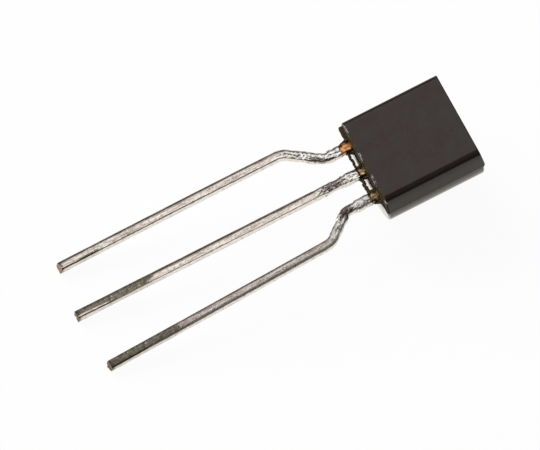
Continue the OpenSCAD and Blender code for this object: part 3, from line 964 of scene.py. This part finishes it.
def epoxy():
    """Black epoxy moulding compound with a fine grain. Its end round the leads is stained by
    flux, and has a thin glossy film where it isn't."""
    n = Nodes(bpy.data.materials.new("epoxy"))
    place = n.device()
    x, y, z = n.split(place)
    grain = n.noise(place, *GRAIN)
    cloud = n.noise(place, *SHADE)
    wander = n.contrast(n.noise(place, *FLUX_EDGE), 0.25, -0.25, 0.25)
    lead_gap = n.math("PINGPONG", n.math("ABSOLUTE", n.plus(y, STAIN_SHIFT)), PITCH / 2)
    on_end = n.below(x, 0.08, 0.01)
    stain = n.times(on_end, flux_cover(n, place, lead_gap, wander))
    flux = flux_colour(n, place, lead_gap, wander)
    n.set("Base Color", n.mix(stain, resin_colour(n, grain, cloud), flux))
    n.set("Roughness", n.map_range(stain, 0, 1, n.contrast(cloud, 0.2, *RESIN_ROUGH), FLUX_ROUGH))
    n.set("Specular IOR Level", n.map_range(stain, 0, 1, resin_gloss(n, z), FLUX_GLOSS))
    olive = n.above(n.noise(place, *SHINE), 0.49, 0.13)
    n.set("Specular Tint", n.mix(olive, PURPLE_SHINE, OLIVE_SHINE))
    n.set("Coat Weight", n.times(on_end, n.math("SUBTRACT", 1, stain)))
    n.set("Coat Roughness", FILM_ROUGH)
    n.bump(grain, 0.1, 0.004 * MM)
    return n.owner


class LeadMetal(Nodes):
    """The layers of a lead's metal. Each lays its own colour over the one under it."""

    def __init__(self, name, lead):
        super().__init__(bpy.data.materials.new(name))
        self.lead = lead
        self.length = lead_stations(lead)[-1][0]
        self.along, self.around, _ = self.split(self.uv())
        self.streak = self.pattern(*STREAK)
        self.cloud = self.pattern(*CLOUD)
        self.mottle = self.pattern(*MOTTLE)
        self.speck = self.pattern(*SPECK)
        self.blot = self.pattern(*BLOT)
        self.at = self.plus(self.along, self.contrast(self.cloud, 0.2, -0.35, 0.35))
        self.edge = self.plus(self.along, self.contrast(self.speck, 0.2, -0.12, 0.12))
        self.fresh = self.map_range(self.at, *lead["lumpy"], 1, 0)
        self.dull = self.dull_mask()

    def pattern(self, stretch, *look):
        return self.noise(self.uv(stretch), *look)

    def plating(self):
        """Tin in streaks, with dark mottles and specks, bright flecks, and a painted highlight on its
        sides.
        """
        tin = self.ramp(self.streak, TIN_STREAKS)
        tin = self.mix(self.above(self.mottle, 0.55, 0.07, 0.65), tin, TIN_MOTTLE)
        tin = self.mix(self.above(self.speck, 0.61, 0.05, 0.5), tin, TIN_SPECK)
        # Painted highlight on both sides, where they reflect the bright floor
        sides = self.plus(self.band(self.around, *NEAR_SIDE), self.band(self.around, *FAR_SIDE))
        side_sheen = self.times(sides, self.map_range(self.mottle, 0.6, 0.5, 0.2, 0.85))
        tin = self.mix(side_sheen, tin, PAINTED_SIDE_SHEEN)
        return self.mix(self.below(self.speck, 0.4, 0.04, 0.7), tin, BRIGHT_FLECK)

    def fresh_tin(self, tin):
        """Brighter where the tin is thick."""
        return self.mix(self.times(self.fresh, 0.7), tin, FRESH_TIN)

    def painted_edge_shade(self, tin):
        """Painted shade on the rolled edge, for its dark reflection, with less of it on the thick tin.
        """
        edge_shade = self.map_range(self.cloud, 0.35, 0.6, 0.45, 0.95)
        edge_shade = self.times(edge_shade, self.band(self.around, *ROLLED_EDGE))
        edge_shade = self.times(edge_shade, self.map_range(self.fresh, 0, 1, 1, 0.3))
        return self.mix(edge_shade, tin, self.mix(self.streak, DARK_EDGE_SHADE, PALE_EDGE_SHADE))

    def spots(self, tin):
        """Dark spots in the thick tin."""
        spots = self.times(self.fresh, self.above(self.blot, 0.585, 0.015, 0.9))
        return self.mix(spots, tin, self.mix(self.speck, DARK_SPOT, PALE_SPOT))

    def squared_share(self, value, middle, half):
        """Square of the distance from a middle, in halves of the patch's size."""
        return self.math("POWER", self.math("DIVIDE", self.math("SUBTRACT", value, middle), half), 2)

    def scorched(self, tin):
        """A burnt patch with a ragged rim."""
        along, half_length, around, half_width = self.lead["scorch"]
        away = self.plus(self.squared_share(self.along, along, half_length),
                         self.squared_share(self.around, around, half_width))
        ragged = self.plus(away, self.contrast(self.mottle, 0.2, -1.2, 1.2))
        return self.mix(self.below(ragged, 0.85, 0.15, 0.9), tin, self.ramp(self.blot, SCORCH))

    def dull_mask(self):
        """The dull stretch, with gaps, weaker on the -Y side and longer or shorter towards +Y."""
        begin, end = self.lead["dull"]
        tail = self.below(self.around, 0.7, 0.03, self.lead["tail"])
        before_end = self.below(self.math("SUBTRACT", self.at, tail), end, 0.1)
        dull = self.times(self.above(self.at, begin, 0.1), before_end)
        dull = self.times(dull, self.above(self.blot, 0.385, 0.025, 0.92))
        return self.times(dull, self.map_range(self.around, 0.87, 0.8, 0.15, 1))

    def dulled(self, tin):
        grey = self.mix(self.contrast(self.cloud, 0.1), DULL_GREY, DULL_OLIVE)
        patchy = self.mix(self.contrast(self.mottle, 0.1), DULL_BROWN, grey)
        return self.mix(self.dull, tin, patchy)

    def tip_dirt(self, tin):
        """A dark line along the last stretch's upper -Y edge, and a dark rim at the cut."""
        near_tip = self.above(self.at, self.length - 1.65, 0.25, 0.9)
        tin = self.mix(self.times(self.band(self.around, *NEAR_EDGE), near_tip), tin, SEAM_DIRT)
        at_cut = self.above(self.edge, self.length - 0.12, 0.04, 0.85)
        return self.mix(at_cut, tin, TIP_DIRT)

    def over_copper(self, tin):
        """The tin, the copper that is bare next to the case, and a dark line between them."""
        bare = self.below(self.edge, self.lead["bare"], 0.04)
        copper = self.ramp(self.pattern(*TARNISH), self.lead["copper"])
        rim = self.times(self.map_range(bare, 0, 0.3), self.map_range(bare, 1, 0.7, 0, 0.8))
        return self.mix(rim, self.mix(bare, tin, copper), COPPER_RIM)


def lead_metal(name, lead):
    """Tin, with all its wear and stains, over copper that is bare next to the case."""
    n = LeadMetal(name, lead)
    colour = n.plating()
    for layer in (n.fresh_tin, n.painted_edge_shade, n.spots, n.scorched, n.dulled, n.tip_dirt, n.over_copper):
        colour = layer(colour)
    n.set("Base Color", colour)
    n.set("Metallic", 1.0)
    rough = n.contrast(n.streak, 0.2, *(share + lead["worn"] for share in TIN_ROUGH))
    n.set("Roughness", n.plus(rough, n.times(n.dull, DULL_ROUGH)))
    n.bump(n.pattern(*SCRATCH), 0.4, 0.01 * MM)
    return n.owner


def plain_metal(name, dark, light, roughness):
    """Metal with a fine grain of two colours."""
    n = Nodes(bpy.data.materials.new(name))
    grain = n.noise(n.position(), *METAL_GRAIN)
    n.set("Base Color", n.mix(grain, dark, light))
    n.set("Metallic", 1.0)
    n.set("Roughness", roughness)
    n.bump(grain, 0.2, 0.002 * MM)
    return n.owner


def floor_paper():
    """White paper that takes shadows and partly glows, so that it looks evenly white."""
    n = Nodes(bpy.data.materials.new("floor"))
    n.set("Roughness", FLOOR_ROUGH)
    n.set("Base Color", n.mix(n.noise(n.position(), *FLOOR_CLOUD), FLOOR_DARK, FLOOR_LIGHT))
    rays = n.add("ShaderNodeLightPath").outputs
    colour = n.mix(rays["Is Glossy Ray"], WHITE, WARM_WHITE)
    glow = n.add("ShaderNodeEmission", {"Color": colour, "Strength": 1}).outputs["Emission"]
    camera_share = n.times(rays["Is Camera Ray"], CAMERA_GLOW)
    share = n.plus(camera_share, n.times(rays["Is Glossy Ray"], GLOSSY_GLOW))
    mix = n.add("ShaderNodeMixShader", {"Fac": share, 1: n.shader.outputs["BSDF"], 2: glow})
    n.feed(mix.outputs["Shader"], n.tree.nodes["Material Output"].inputs["Surface"])
    return n.owner


# Light, floor and camera

def floor():
    bm = bmesh.new()
    bmesh.ops.create_grid(bm, x_segments=FLOOR_GRID, y_segments=FLOOR_GRID, size=FLOOR_HALF)
    mesh = bpy.data.meshes.new("floor")
    bm.to_mesh(mesh)
    bm.free()
    obj = make_object("floor", mesh, [floor_paper()])


def area_light(name, direction, distance, size, radiance, glossy=True, diffuse=True):
    """A rectangular lamp seen from the case in a direction of the device's frame."""
    data = bpy.data.lights.new(name, "AREA")
    data.shape = "RECTANGLE"
    data.size, data.size_y = size
    data.energy = radiance * math.pi * size[0] * size[1]
    obj = bpy.data.objects.new(name, data)
    bpy.context.scene.collection.objects.link(obj)
    away = (TURN @ Vector(direction)).normalized()
    up = away.cross(Vector((1, 0, 0))).normalized()
    turn = Matrix((up.cross(away), up, away)).transposed().to_4x4()
    obj.matrix_world = Matrix.Translation(DEVICE.translation + away * distance) @ turn
    obj.visible_camera = False
    obj.visible_glossy = glossy
    obj.visible_diffuse = diffuse


def white_world():
    """A white background that gives only a little light."""
    world = bpy.data.worlds.new("world")
    bpy.context.scene.world = world
    n = Nodes(world)
    rays = n.add("ShaderNodeLightPath").outputs
    background = n.tree.nodes["Background"].inputs
    n.feed(WHITE, background["Color"])
    n.feed(n.map_range(rays["Is Camera Ray"], 0, 1, WORLD_LIGHT), background["Strength"])


def camera():
    turn = (Matrix.Rotation(TURN_Z, 3, "Z") @ Matrix.Rotation(TURN_X, 3, "X")
            @ Matrix.Rotation(TURN_Y, 3, "Y"))
    axes = TURN @ turn.transposed()
    right = (IMAGE_W / 2 - ORIGIN_PIXEL[0]) / PIXELS_PER_MM
    up = (ORIGIN_PIXEL[1] - IMAGE_H / 2) / PIXELS_PER_MM
    data = bpy.data.cameras.new("camera")
    data.sensor_width = SENSOR
    data.lens = SENSOR * PIXELS_PER_MM * CAMERA_DISTANCE / IMAGE_W
    data.clip_start, data.clip_end = CLIP
    obj = bpy.data.objects.new("camera", data)
    bpy.context.scene.collection.objects.link(obj)
    place = DEVICE.translation + axes @ Vector((right, up, CAMERA_DISTANCE)) * MM
    obj.matrix_world = Matrix.Translation(place) @ axes.to_4x4()
    bpy.context.scene.camera = obj


def dress_cad(name, material):
    obj = frame["nodes"][name]
    obj.data.materials.clear()
    obj.data.materials.append(material)


bpy.context.scene.view_settings.view_transform = "Standard"
camera()
for name, lamp in LAMPS.items():
    area_light(name, **lamp)
white_world()
floor()
build_case()
for name, lead in LEADS.items():
    build_lead(name, lead)
dress_cad("silicon_die", plain_metal("silicon", *SILICON))
dress_cad("die_attach", plain_metal("adhesive", *ADHESIVE))
gold = plain_metal("gold", *GOLD)
dress_cad("base_bond_wire", gold)
dress_cad("emitter_bond_wire", gold)
